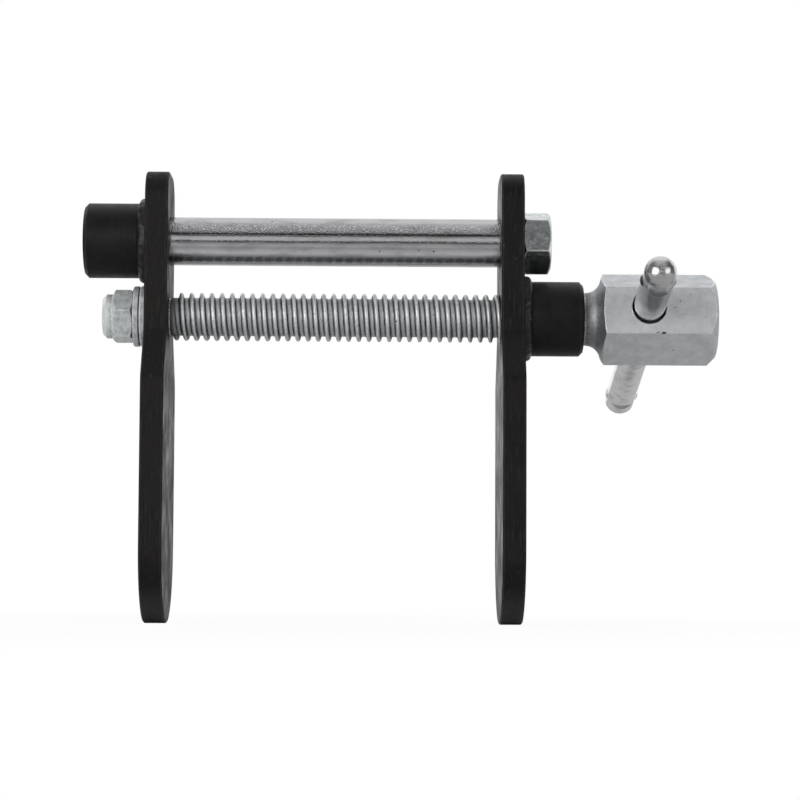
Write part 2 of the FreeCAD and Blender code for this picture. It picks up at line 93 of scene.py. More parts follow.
def add_map(tree, value, low, high, to_low, to_high, smooth=False):
    """The value, mapped from low..high to to_low..to_high and held at the ends."""
    settings = {"interpolation_type": "SMOOTHSTEP" if smooth else "LINEAR"}
    links = {0: value, 1: low, 2: high, 3: to_low, 4: to_high}
    return add_node(tree, "ShaderNodeMapRange", links, **settings).outputs[0]


def add_blend(tree, amount, first, second):
    """One colour that goes from the first to the second as amount goes from 0 to 1."""
    node = add_node(tree, "ShaderNodeMix", {0: amount, 6: first, 7: second}, data_type="RGBA")
    return node.outputs[2]


def add_place(tree):
    """Where a point is on its piece, in metres, which stays the same in any pose."""
    return add_node(tree, "ShaderNodeTexCoord").outputs["Object"]


def split_axes(tree, vector):
    """The three outputs X, Y and Z of the vector."""
    return add_node(tree, "ShaderNodeSeparateXYZ", {0: vector}).outputs


def start_group(name, inputs, outputs):
    """A shader node group with named sockets: its tree, what it takes in and where its results go."""
    tree = bpy.data.node_groups.new(name, "ShaderNodeTree")
    for label, value in inputs.items():
        kind = "NodeSocketVector" if isinstance(value, tuple) else "NodeSocketFloat"
        socket = tree.interface.new_socket(label, in_out="INPUT", socket_type=kind)
        socket.default_value = value
    for label in outputs:
        tree.interface.new_socket(label, in_out="OUTPUT", socket_type="NodeSocketFloat")
    return tree, tree.nodes.new("NodeGroupInput").outputs, tree.nodes.new("NodeGroupOutput").inputs


def build_edge_wear_and_highlight():
    """Sharp edges, broken up along their length: worn arrises on the black parts, painted highlights on the
    zinc rims.
    """
    tree, given, result = start_group("edge wear and highlight", {"Width": 0.4 * MM, "Breaks": 900.0}, ["Mask"])
    place = add_place(tree)
    rounded = add_node(tree, "ShaderNodeBevel", {"Radius": given["Width"]}, samples=6)
    true_normal = add_node(tree, "ShaderNodeNewGeometry").outputs["Normal"]
    facing = add_node(tree, "ShaderNodeVectorMath", {0: rounded.outputs[0], 1: true_normal},
                      operation="DOT_PRODUCT").outputs["Value"]
    edge = add_map(tree, facing, 0.998, 0.96, 0, 1)
    breaks = add_node(tree, "ShaderNodeTexNoise", {"Vector": place, "Scale": given["Breaks"], "Detail": 3})
    kept = add_map(tree, breaks.outputs["Fac"], 0.38, 0.60, 0.4, 1)
    tree.links.new(add_math(tree, "MULTIPLY", edge, kept), result["Mask"])
    return tree


def build_grain():
    """Fine unevenness, drawn out along one or more axes by the Stretch, from 0 to 1."""
    tree, given, result = start_group(
        "grain", {"Scale": 900.0, "Stretch": (1.0, 1.0, 1.0), "Detail": 3.0}, ["Value"])
    place = add_place(tree)
    drawn = add_node(tree, "ShaderNodeVectorMath", {0: place, 1: given["Stretch"]}, operation="MULTIPLY")
    noise = add_node(tree, "ShaderNodeTexNoise", {
        "Vector": drawn.outputs[0], "Scale": given["Scale"], "Detail": given["Detail"], "Roughness": 0.55})
    tree.links.new(add_map(tree, noise.outputs["Fac"], 0.28, 0.72, 0, 1), result["Value"])
    return tree


def build_specks():
    """Scattered small spots such as dust, pinholes and nicks. Share is how many of the cells have one."""
    tree, given, result = start_group("specks", {"Scale": 400.0, "Share": 0.1, "Size": 0.2}, ["Mask"])
    place = add_place(tree)
    bent = add_node(tree, "ShaderNodeTexNoise", {"Vector": place, "Scale": 1500.0, "Detail": 2})
    shift = add_node(tree, "ShaderNodeVectorMath", {0: bent.outputs["Color"], 3: 0.6 * MM}, operation="SCALE")
    moved = add_node(tree, "ShaderNodeVectorMath", {0: place, 1: shift.outputs[0]}, operation="ADD")
    cells = add_node(tree, "ShaderNodeTexVoronoi", {"Vector": moved.outputs[0], "Scale": given["Scale"]})
    chance = add_node(tree, "ShaderNodeSeparateColor", {0: cells.outputs["Color"]})
    chosen = add_math(tree, "LESS_THAN", chance.outputs[0], given["Share"])
    size = add_math(tree, "MULTIPLY", given["Size"], chance.outputs[1])
    spot = add_math(tree, "LESS_THAN", cells.outputs["Distance"], size)
    tree.links.new(add_math(tree, "MULTIPLY", chosen, spot), result["Mask"])
    return tree


EDGE_WEAR_AND_HIGHLIGHT = build_edge_wear_and_highlight()
GRAIN = build_grain()
SPECKS = build_specks()


def add_effect(tree, group, **values):
    """The output of one of the shared effects, placed in a material with its own values."""
    node = add_node(tree, "ShaderNodeGroup", node_tree=group)
    for label, value in values.items():
        node.inputs[label].default_value = value
    return node.outputs[0]


def start_material(name, metallic=0.0, specular=0.5):
    """A material and its Principled shader, with the values that are the same all over set on it."""
    material = bpy.data.materials.new(name)
    material.use_nodes = True
    shader = material.node_tree.nodes["Principled BSDF"]
    shader.inputs["Metallic"].default_value = metallic
    shader.inputs["Specular IOR Level"].default_value = specular
    return material, material.node_tree, shader


def finish_material(tree, shader, colour, roughness, height, depth, arris=0.3 * MM):
    """Feeds the shader its colour, roughness and bump, depth deep, with arrises rounded by the radius."""
    tree.links.new(colour, shader.inputs["Base Color"])
    tree.links.new(roughness, shader.inputs["Roughness"])
    bump = add_node(tree, "ShaderNodeBump", {"Height": height, "Distance": depth, "Strength": 0.8})
    if arris:
        rounded = add_node(tree, "ShaderNodeBevel", {"Radius": arris}, samples=4)
        tree.links.new(rounded.outputs[0], bump.inputs["Normal"])
    tree.links.new(bump.outputs[0], shader.inputs["Normal"])


def blackened_plate(name, smoothest, roughest):
    """Stove black with brown clouds, drawn marks and dust, its roughness between the two given."""
    material, tree, shader = start_material(name, specular=0.235)
    shader.inputs["Specular Tint"].default_value = PLATE_SHEEN
    cloud = add_effect(tree, GRAIN, Scale=70.0, Detail=5.0)
    fine = add_effect(tree, GRAIN, Scale=2400.0)
    drawn = add_effect(tree, GRAIN, Scale=1100.0, Stretch=(1.0, 1.0, 0.12), Detail=4.0)
    arris = add_effect(tree, EDGE_WEAR_AND_HIGHLIGHT, Width=0.6 * MM, Breaks=260.0)
    dust = add_effect(tree, SPECKS, Scale=420.0, Share=0.05, Size=0.20)
    colour = add_blend(tree, cloud, PLATE_BLACK, PLATE_BROWN)
    colour = add_blend(tree, add_map(tree, drawn, 0.60, 1, 0, 1), colour, PLATE_RUBBED)
    # Painted reflection: the paddle is painted lighter over the bottom 17 mm, where it faces the white paper.
    foot_reflection = add_map(tree, split_axes(tree, add_place(tree))["Z"], *FOOT_REFLECTION_SPAN, 1, 0, True)
    colour = add_blend(tree, foot_reflection, colour, PLATE_FOOT_REFLECTION)
    colour = add_blend(tree, add_math(tree, "MULTIPLY", arris, 0.20), colour, WORN_STEEL)
    colour = add_blend(tree, add_math(tree, "MULTIPLY", dust, 0.3), colour, DUST)
    roughness = add_map(tree, add_math(tree, "ADD", cloud, drawn), 0.4, 1.6, smoothest, roughest)
    height = add_math(tree, "ADD", add_math(tree, "MULTIPLY", fine, 0.35), drawn)
    finish_material(tree, shader, colour, roughness, add_math(tree, "ADD", height, dust), 0.08 * MM)
    return material


def dress(node, material):
    """The CAD piece keeps its shape and takes the finished material."""
    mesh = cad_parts[node].data
    mesh.materials.clear()
    mesh.materials.append(material)


dress("fixed_plate", blackened_plate("blackened fixed paddle", 0.31, 0.72))
dress("sliding_plate", blackened_plate("blackened sliding paddle", 0.25, 0.60))


# The two bushes are turned from round steel bar: the guide bush, bored for the rod, and the threaded
# bush, tapped for the screw. Each is welded to its paddle's outer face and blackened with it, so the
# turning marks still show under a thin, slightly glossy black.
BUSH_BLACK = (0.0026, 0.0025, 0.0025, 1)
BUSH_GREY = (0.0125, 0.0120, 0.0115, 1)


def blackened_bush():
    material, tree, shader = start_material("blackened bush", specular=0.27)
    cloud = add_effect(tree, GRAIN, Scale=130.0, Detail=5.0)
    fine = add_effect(tree, GRAIN, Scale=2600.0)
    turned = add_effect(tree, GRAIN, Scale=3200.0, Stretch=(1.0, 0.02, 0.02), Detail=2.0)
    rubbed_and_banded = add_effect(tree, GRAIN, Scale=420.0, Stretch=(1.0, 0.35, 0.35), Detail=4.0)
    arris = add_effect(tree, EDGE_WEAR_AND_HIGHLIGHT, Width=0.6 * MM, Breaks=300.0)
    dust = add_effect(tree, SPECKS, Scale=450.0, Share=0.06, Size=0.20)
    colour = add_blend(tree, add_map(tree, cloud, 0.3, 1, 0, 0.7), BUSH_BLACK, BUSH_GREY)
    colour = add_blend(tree, add_map(tree, rubbed_and_banded, 0.62, 1, 0, 0.5), colour, BUSH_GREY)
    colour = add_blend(tree, add_math(tree, "MULTIPLY", arris, 0.16), colour, WORN_STEEL)
    colour = add_blend(tree, add_math(tree, "MULTIPLY", dust, 0.25), colour, DUST)
    roughness = add_map(tree, add_math(tree, "ADD", cloud, rubbed_and_banded), 0.2, 1.8, 0.36, 0.54)
    height = add_math(tree, "ADD", add_math(tree, "MULTIPLY", fine, 0.5), turned)
    finish_material(tree, shader, colour, roughness, height, 0.05 * MM)
    return material


BUSH_FINISH = blackened_bush()
for bush in ("guide_bush", "threaded_bush"):
    dress(bush, BUSH_FINISH)


# The fillet welds that hold the bushes: one run of bead each, laid by hand all round, so it is crowned,
# scalloped where each puddle froze over the last, and fatter in some places than in others.
BEAD_COLUMNS = 224
BEAD_ROWS = 14
BEAD_RIPPLES = 25
BEAD_LUMPS = 9
LUMP_SPREAD = 5
BEAD_BITE = 0.12 * MM
BEAD_LAP = 0.02 * MM
BEAD_SHARP = 40
CROWN_HEIGHT = 0.22
CROWN_LUMP = 0.08
CROWN_SCALLOP = 0.15
CROWN_LEAN = 0.62
WELD_BLACK = (0.0034, 0.0034, 0.0035, 1)
WELD_CRUST = (0.012, 0.0114, 0.011, 1)


def weld_metal():
    material, tree, shader = start_material("weld metal")
    cloud = add_effect(tree, GRAIN, Scale=330.0, Detail=5.0)
    fine = add_effect(tree, GRAIN, Scale=2200.0)
    crust = add_effect(tree, SPECKS, Scale=700.0, Share=0.22, Size=0.30)
    colour = add_blend(tree, add_map(tree, cloud, 0.45, 1, 0, 0.8), WELD_BLACK, WELD_CRUST)
    colour = add_blend(tree, add_math(tree, "MULTIPLY", crust, 0.18), colour, DUST)
    roughness = add_map(tree, cloud, 0, 1, 0.26, 0.50)
    height = add_math(tree, "ADD", add_math(tree, "MULTIPLY", fine, 0.5), cloud)
    finish_material(tree, shader, colour, roughness, add_math(tree, "ADD", height, crust), 0.12 * MM)
    return material


def finish_mesh(name, work, sharp):
    """Turns the worked mesh into an object that is smooth except at edges sharper than so many degrees."""
    bmesh.ops.recalc_face_normals(work, faces=work.faces)
    mesh = bpy.data.meshes.new(name)
    work.to_mesh(mesh)
    work.free()
    mesh.shade_smooth()
    mesh.set_sharp_from_angle(angle=math.radians(sharp))
    piece = bpy.data.objects.new(name, mesh)
    bpy.context.scene.collection.objects.link(piece)
    return piece


def lay_bead(name, node, bush_node, outward, seed):
    """A ring of weld bead in the corner between a bush and its paddle, inside the node's own box."""
    low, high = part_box(node)
    bush_low, bush_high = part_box(bush_node)
    middle = (low + high) / 2
    foot_radius = (high.y - low.y) / 2
    bush_radius = (bush_high.y - bush_low.y) / 2
    plate_face = low.x if outward > 0 else high.x
    leg = high.x - low.x
    rise = foot_radius - bush_radius
    slope = math.hypot(leg, rise)
    inner_radius = bush_radius - BEAD_BITE
    chance = random.Random(seed)
    lumps = [(chance.randint(2, 19), chance.uniform(0, math.tau), chance.uniform(0.3, 1))
             for _ in range(BEAD_LUMPS)]
    jitter = [chance.uniform(0.25, 1.3) for _ in range(BEAD_RIPPLES)]
    work = bmesh.new()

    def ring_point(along, radius, angle):
        return work.verts.new((plate_face + outward * along, middle.y + radius * math.cos(angle),
                               middle.z + radius * math.sin(angle)))

    rings = []
    for column in range(BEAD_COLUMNS):
        angle = math.tau * column / BEAD_COLUMNS
        lump = sum(size * math.sin(turn * angle + start) for turn, start, size in lumps) / LUMP_SPREAD
        ring = []
        for row in range(BEAD_ROWS):
            across = row / (BEAD_ROWS - 1)
            arch = math.sin(math.pi * across)
            # The puddles are of uneven length round the bead and bow a little across it.
            stage = (angle / math.tau + 0.012 * arch) * BEAD_RIPPLES
            stage += 0.9 * math.sin(3 * angle + seed) + 0.5 * math.sin(7 * angle - seed) + BEAD_RIPPLES
            puddle = int(stage) % BEAD_RIPPLES
            scallop = jitter[puddle] * math.sin(math.pi * (stage - int(stage)))
            # Lumps and puddles lift the crown, and both feet creep in where the run was thin.
            crown = arch * (CROWN_HEIGHT + CROWN_LUMP * lump + CROWN_SCALLOP * scallop)
            creep = 0.5 + 0.5 * math.sin(5 * angle + seed) * math.sin(2 * angle - seed)
            edge = 1 - 0.07 * creep * (1 - arch) - 0.05 * (1 - scallop)
            along = (1 - across) * leg * (1 - 0.10 * creep * (1 - scallop))
            radius = inner_radius + across * rise * edge
            along += crown * leg * rise / slope
            radius += crown * leg * leg / slope * CROWN_LEAN
            ring.append(ring_point(min(along, leg), min(radius, foot_radius), angle))
        ring.append(ring_point(BEAD_LAP, inner_radius, angle))
        rings.append(ring)
    for column, ring in enumerate(rings):
        following = rings[(column + 1) % BEAD_COLUMNS]
        for row in range(len(ring)):
            beyond = (row + 1) % len(ring)
            work.faces.new((ring[row], ring[beyond], following[beyond], following[row]))
    return finish_mesh(name, work, BEAD_SHARP)


WELD_FINISH = weld_metal()
for bead_name, node, bush, body, outward, seed in (
        ("guide_bush_bead", "guide_bush_weld", "guide_bush", "fixed_jaw", -1, 3),
        ("threaded_bush_bead", "threaded_bush_weld", "threaded_bush", "sliding_jaw", 1, 8)):
    bead = lay_bead(bead_name, node, bush, outward, seed)
    bead.data.materials.append(WELD_FINISH)
    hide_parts(node)
    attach(bead, body)


# The guide rod is a length of drawn steel bar in bright zinc, shouldered down to a stud that goes
# through the sliding paddle. Its tone is painted in stripes along its length by the height round the
# bar, bright and dark, a painted reflection of the studio; it is rougher with old grease below, and
# the plating is frosted in a strip on its upper side.
ROD_SMEAR = (0.30, 0.30, 0.31, 1)
ROD_BLOOM = (0.93, 0.93, 0.94, 1)
ROD_PAINTED_BANDS = (
    (-9.5 * MM, 0.62), (-8.8 * MM, 0.56), (-8.2 * MM, 0.23), (-7.1 * MM, 0.21), (-6.4 * MM, 0.58),
    (-5.7 * MM, 0.90), (-5.0 * MM, 0.88), (-4.2 * MM, 0.72), (-3.4 * MM, 0.58), (9.5 * MM, 0.56))
ZINC_PIT = (0.07, 0.07, 0.075, 1)
FROST_STRIP = (2.2 * MM, 3.4 * MM, 5.4 * MM, 7.0 * MM)
ROD_GREASED = (-4 * MM, -1 * MM)


def add_ramp(tree, value, stops, tint=1.0):
    """The level between the stops, each a place and its level, for the value given."""
    low, high = stops[0][0], stops[-1][0]
    ramp = add_node(tree, "ShaderNodeValToRGB", {0: add_map(tree, value, low, high, 0, 1)})
    elements = ramp.color_ramp.elements
    while len(elements) > 1:
        elements.remove(elements[-1])
    for index, (place, level) in enumerate(stops):
        share = (place - low) / (high - low)
        stop = elements[0] if index == 0 else elements.new(share)
        stop.position = share
        stop.color = (level, level, level * tint, 1)
    return ramp.outputs["Color"]


def bright_zinc_bar(axis_height):
    """Bright zinc that changes with the height above the bar's own axis, which is given."""
    material, tree, shader = start_material("bright zinc bar")
    drawn = add_effect(tree, GRAIN, Scale=1500.0, Stretch=(0.035, 1.0, 1.0), Detail=4.0)
    lay = add_effect(tree, GRAIN, Scale=520.0, Stretch=(0.015, 1.0, 1.0), Detail=4.0)
    blotch = add_effect(tree, GRAIN, Scale=240.0, Stretch=(0.4, 1.0, 1.0), Detail=6.0)
    above = add_math(tree, "SUBTRACT", split_axes(tree, add_place(tree))["Z"], axis_height)
    strip = add_math(tree, "MULTIPLY", add_map(tree, above, *FROST_STRIP[:2], 0, 1),
                     add_map(tree, above, *FROST_STRIP[2:], 1, 0))
    frost = add_effect(tree, GRAIN, Scale=1700.0, Stretch=(0.8, 1.0, 1.0), Detail=1.0)
    pits = add_effect(tree, SPECKS, Scale=520.0, Share=0.10, Size=0.20)
    # Painted reflection: bright and dark bands painted by the height round the bar.
    rubbed_and_banded = add_ramp(tree, above, ROD_PAINTED_BANDS, 1.02)
    colour = add_blend(tree, add_map(tree, blotch, 0.45, 1, 0, 0.55), rubbed_and_banded, ROD_SMEAR)
    bloom = add_math(tree, "MULTIPLY", strip, add_map(tree, frost, 0.68, 0.86, 0, 0.9))
    colour = add_blend(tree, bloom, colour, ROD_BLOOM)
    colour = add_blend(tree, pits, colour, ZINC_PIT)
    tree.links.new(add_map(tree, bloom, 0, 1, 1, 0.35), shader.inputs["Metallic"])
    even = add_math(tree, "SUBTRACT", frost, 0.5)
    frosted = add_math(tree, "MULTIPLY", add_map(tree, strip, 0, 1, 0.15, 1), even)
    roughness = add_math(tree, "ADD", add_map(tree, blotch, 0, 1, 0.03, 0.09),
                         add_map(tree, above, *ROD_GREASED, 0.13, 0))
    height = add_math(tree, "ADD", add_math(tree, "MULTIPLY", lay, 0.4),
                      add_math(tree, "MULTIPLY", drawn, 0.2))
    height = add_math(tree, "ADD", height, add_math(tree, "MULTIPLY", frosted, 2.6))
    height = add_math(tree, "SUBTRACT", height, add_math(tree, "MULTIPLY", pits, 0.5))
    finish_material(tree, shader, colour, roughness, height, 0.05 * MM)
    return material


ROD_LOW, ROD_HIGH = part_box("guide_rod")
dress("guide_rod", bright_zinc_bar((ROD_LOW.z + ROD_HIGH.z) / 2))


# The hexagon nut on the rod's stud, and the two washers and the lock nut outside the fixed paddle, are
# bought fastenings in bright zinc, bluish and mottled, with painted highlights along the rims. The lock
# nut's collar is rolled over and carries a painted highlight, and the seams between it, the washers and
# the paddle are darkened with grime and painted shade.
FASTENER_ZINC = (0.84, 0.88, 0.89, 1)
FASTENER_CLOUD = (0.36, 0.40, 0.415, 1)
ZINC_FLECK_AND_HIGHLIGHT = (0.97, 0.98, 0.98, 1)
SEAM_GRIME_AND_SHADE = (0.030, 0.030, 0.031, 1)
SEAM_REACH = (0.10 * MM, 0.38 * MM)
COLLAR_HIGHLIGHT_SPAN = (2.4 * MM, 3.4 * MM)
ZINC_ARRIS = 0.5 * MM


def bright_zinc_fastener(name, metallic, rim_metallic, depth, seams=(), collar_start=None):
    """Mottled zinc, painted highlights on the rims and on a collar from its own X, grime and painted shade at
    each seam's X.
    """
    material, tree, shader = start_material(name)
    blotch = add_effect(tree, GRAIN, Scale=420.0, Detail=5.0)
    fine = add_effect(tree, GRAIN, Scale=2300.0, Detail=3.0)
    arris = add_effect(tree, EDGE_WEAR_AND_HIGHLIGHT, Width=0.9 * MM, Breaks=300.0)
    pits = add_effect(tree, SPECKS, Scale=700.0, Share=0.10, Size=0.22)
    arris = add_map(tree, arris, 0, 0.55, 0, 1)
    colour = add_blend(tree, add_map(tree, blotch, 0.3, 0.9, 0, 0.8), FASTENER_ZINC, FASTENER_CLOUD)
    # Painted highlight: the rims are painted near white along the sharp edges.
    colour = add_blend(tree, arris, colour, ZINC_FLECK_AND_HIGHLIGHT)
    along = split_axes(tree, add_place(tree))["X"]
    if collar_start is not None:
        # Painted highlight: the collar is painted near white over its first few millimetres.
        collar_highlight = add_map(tree, along, collar_start + COLLAR_HIGHLIGHT_SPAN[0], collar_start + COLLAR_HIGHLIGHT_SPAN[1], 0.85, 0)
        colour = add_blend(tree, collar_highlight, colour, ZINC_FLECK_AND_HIGHLIGHT)
    for seam in seams:
        # Grime and painted shade: darker within a fraction of a millimetre of each seam between the parts.
        away = add_math(tree, "ABSOLUTE", add_math(tree, "SUBTRACT", along, seam))
        grime_and_shade = add_map(tree, away, *SEAM_REACH, 0.85, 0, True)
        colour = add_blend(tree, grime_and_shade, colour, SEAM_GRIME_AND_SHADE)
    colour = add_blend(tree, add_math(tree, "MULTIPLY", pits, 0.8), colour, ZINC_PIT)
    roughness = add_map(tree, add_math(tree, "ADD", blotch, fine), 0.3, 1.7, 0.12, 0.27)
    roughness = add_math(tree, "MULTIPLY", roughness, add_map(tree, arris, 0, 1, 1, 0.8))
    height = add_math(tree, "ADD", blotch, add_math(tree, "MULTIPLY", fine, 0.35))
    height = add_math(tree, "SUBTRACT", height, add_math(tree, "MULTIPLY", pits, 0.4))
    tree.links.new(add_map(tree, arris, 0, 1, metallic, rim_metallic), shader.inputs["Metallic"])
    finish_material(tree, shader, colour, roughness, height, depth, ZINC_ARRIS)
    return material


dress("rod_nut", bright_zinc_fastener("bright zinc nut", 1.0, 0.0, 0.10 * MM))
WASHER_PILE = ("lock_nut", "outer_washer", "inner_washer")
PILE_SEAMS = [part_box(fastener)[1].x for fastener in WASHER_PILE]
PILE_FINISH = bright_zinc_fastener("bright zinc washers", 0.25, 0.0, 0.06 * MM, PILE_SEAMS,
                                   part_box("lock_nut")[0].x)
for fastener in WASHER_PILE:
    dress(fastener, PILE_FINISH)


# The lock nut's collar holds a nylon ring that grips the spigot's thread. The ring is moulded, milky and
# a little waxy, and only its face shows inside the collar.
NYLON_MILK = (0.72, 0.71, 0.66, 1)
NYLON_WORN = (0.55, 0.53, 0.47, 1)


def moulded_nylon():
    material, tree, shader = start_material("moulded nylon", specular=0.45)
    shader.inputs["Subsurface Weight"].default_value = 0.15
    shader.inputs["Subsurface Radius"].default_value = (0.8 * MM, 0.7 * MM, 0.6 * MM)
    blotch = add_effect(tree, GRAIN, Scale=500.0, Detail=4.0)
    fine = add_effect(tree, GRAIN, Scale=2600.0)
    colour = add_blend(tree, blotch, NYLON_MILK, NYLON_WORN)
    roughness = add_map(tree, fine, 0, 1, 0.38, 0.56)
    finish_material(tree, shader, colour, roughness, fine, 0.03 * MM)
    return material


dress("lock_nut_insert", moulded_nylon())


# The lead screw is one piece of steel: a spigot for the washers and nut, a shank with a coarse rolled
# thread, a concave neck and a hexagon head with the cross hole for the bar. It is zinc plated to a
# satin grey, with painted highlights on the crests and rims, a darker tone low on the thread's flanks
# that is partly grime and partly painted shade, painted shade in the neck, and darker thread next to
# the paddle.
THREAD_PITCH = 4 * MM
THREAD_CREST = 9.5 * MM
THREAD_ROOT = 7.5 * MM
THREAD_START = 0.3 * MM
THREAD_END = 163 * MM
THREAD_COLUMNS = 64
THREAD_TURN = 260.7
THREAD_RISE = 0.7 * THREAD_PITCH
THREAD_RUN_OUT = 1.1 * THREAD_PITCH
THREAD_TRIM = 0.05 * MM
THREAD_LAP = 0.2 * MM
THREAD_SINK = 0.02 * MM
SCREW_AXIS_Z = 75 * MM
SCREW_SHARP = 18
SAME_POINT = 0.001 * MM
SLIVER_EDGE = 0.002 * MM
FLAT_ANGLE = 0.4
FACE_MARGIN = 0.01 * MM
THREAD_SECTION = (
    (0.00, 0.00), (0.15, 0.00), (0.22, 0.05), (0.270, 0.30), (0.305, 0.66), (0.36, 0.90), (0.44, 0.99),
    (0.56, 0.99), (0.64, 0.90), (0.695, 0.66), (0.730, 0.30), (0.78, 0.05), (0.85, 0.00))
SATIN_ZINC = (0.80, 0.825, 0.84, 1)
SATIN_CLOUD = (0.62, 0.645, 0.66, 1)
SATIN_METALLIC = 0.70
THREAD_GRIME_AND_SHADE = (0.016, 0.016, 0.017, 1)
NECK_PAINTED_SHADE = (0.13, 0.135, 0.14, 1)
FLANK_SPAN = (0.16, 0.215, 0.275, 0.44)
CREST_SPAN = (0.10, 0.17)
THREAD_DARK_BY_PADDLE = (0.8 * MM, 3.6 * MM)
NECK_SPAN = (162.9 * MM, 170.6 * MM)
HEAD_BACK = (172 * MM, 174 * MM)
NICK_PLACE = (192.5 * MM, -17.1 * MM, 68.2 * MM)
NICK_REACH = (2.6 * MM, 1.0 * MM, 0.55 * MM)


def build_thread_flank():
    """How near a point is to the flanks' feet and to the crest, from the helix that the thread follows."""
    tree, given, result = start_group(
        "thread flank", {"Pitch": THREAD_PITCH, "Axis Height": SCREW_AXIS_Z, "Phase": 0.0},
        ["Flank", "Crest"])
    part = split_axes(tree, add_place(tree))
    above = add_math(tree, "SUBTRACT", part["Z"], given["Axis Height"])
    angle = add_math(tree, "DIVIDE", add_math(tree, "ARCTAN2", above, part["Y"]), math.tau)
    turns = add_math(tree, "DIVIDE", part["X"], given["Pitch"])
    phase = add_math(tree, "ADD", add_math(tree, "SUBTRACT", turns, angle), given["Phase"])
    within = add_math(tree, "FRACT", phase)
    off_crest = add_math(tree, "ABSOLUTE", add_math(tree, "SUBTRACT", within, 0.5))
    rising = add_map(tree, off_crest, *FLANK_SPAN[:2], 0, 1, True)
    falling = add_map(tree, off_crest, *FLANK_SPAN[2:], 1, 0, True)
    tree.links.new(add_math(tree, "MULTIPLY", rising, falling), result["Flank"])
    tree.links.new(add_map(tree, off_crest, *CREST_SPAN, 1, 0, True), result["Crest"])
    return tree


def paint_thread_marks_and_light(tree, colour, grit, patchy):
    """The shank's marks: painted highlights on the crests, grime and painted shade low on the flanks, darker
    by the paddle.
    """
    helix_masks = add_node(tree, "ShaderNodeGroup", node_tree=build_thread_flank())
    helix_masks.inputs["Phase"].default_value = THREAD_TURN / 360 - THREAD_START / THREAD_PITCH
    # Painted highlight: the crests are painted near white.
    crest = add_math(tree, "MULTIPLY", helix_masks.outputs["Crest"], add_map(tree, grit, 0.3, 0.8, 1, 0.25))
    colour = add_blend(tree, crest, colour, ZINC_FLECK_AND_HIGHLIGHT)
    # Darker on the first few millimetres of thread next to the paddle.
    dark_by_paddle = add_map(tree, split_axes(tree, add_place(tree))["X"], *THREAD_DARK_BY_PADDLE, 0.85, 0, True)
    # Grime and painted shade: darker low on the flanks, down in the groove.
    amount = add_math(tree, "MULTIPLY", helix_masks.outputs["Flank"], patchy)
    amount = add_math(tree, "MAXIMUM", amount, dark_by_paddle)
    return add_blend(tree, amount, colour, THREAD_GRIME_AND_SHADE)


def paint_head_marks_and_light(tree, colour, grit, patchy, arris):
    """The head's marks: painted shade in the neck and on the cone behind the head, painted highlights on the
    rims and one nick.
    """
    place = add_place(tree)
    along = split_axes(tree, place)["X"]
    outward = split_axes(tree, add_node(tree, "ShaderNodeTexCoord").outputs["Normal"])["X"]
    # Painted shade and reflection of the black bush: darker in the neck and on the cone that faces the bush.
    back_shade = add_math(tree, "MULTIPLY", add_map(tree, outward, -0.7, -0.3, 0.8, 0, True),
                         add_map(tree, along, *HEAD_BACK, 1, 0))
    neck_shade = add_map(tree, along, *NECK_SPAN, 1, 0, True)
    neck_shade = add_math(tree, "MAXIMUM", neck_shade, back_shade)
    colour = add_blend(tree, add_math(tree, "MULTIPLY", neck_shade, patchy), colour, NECK_PAINTED_SHADE)
    # Painted highlight: the head's rims are painted near white, besides their metal glint.
    colour = add_blend(tree, arris, colour, ZINC_FLECK_AND_HIGHLIGHT)
    off_nick = add_node(tree, "ShaderNodeVectorMath", {0: place, 1: NICK_PLACE}, operation="SUBTRACT")
    drawn = add_node(tree, "ShaderNodeVectorMath", {0: off_nick.outputs[0], 1: NICK_REACH},
                     operation="DIVIDE")
    away = add_node(tree, "ShaderNodeVectorMath", {0: drawn.outputs[0]}, operation="LENGTH")
    nick = add_math(tree, "MULTIPLY", add_map(tree, away.outputs["Value"], 0.75, 1, 1, 0),
                    add_map(tree, grit, 0.35, 0.5, 0, 1))
    return add_blend(tree, nick, colour, ZINC_PIT)


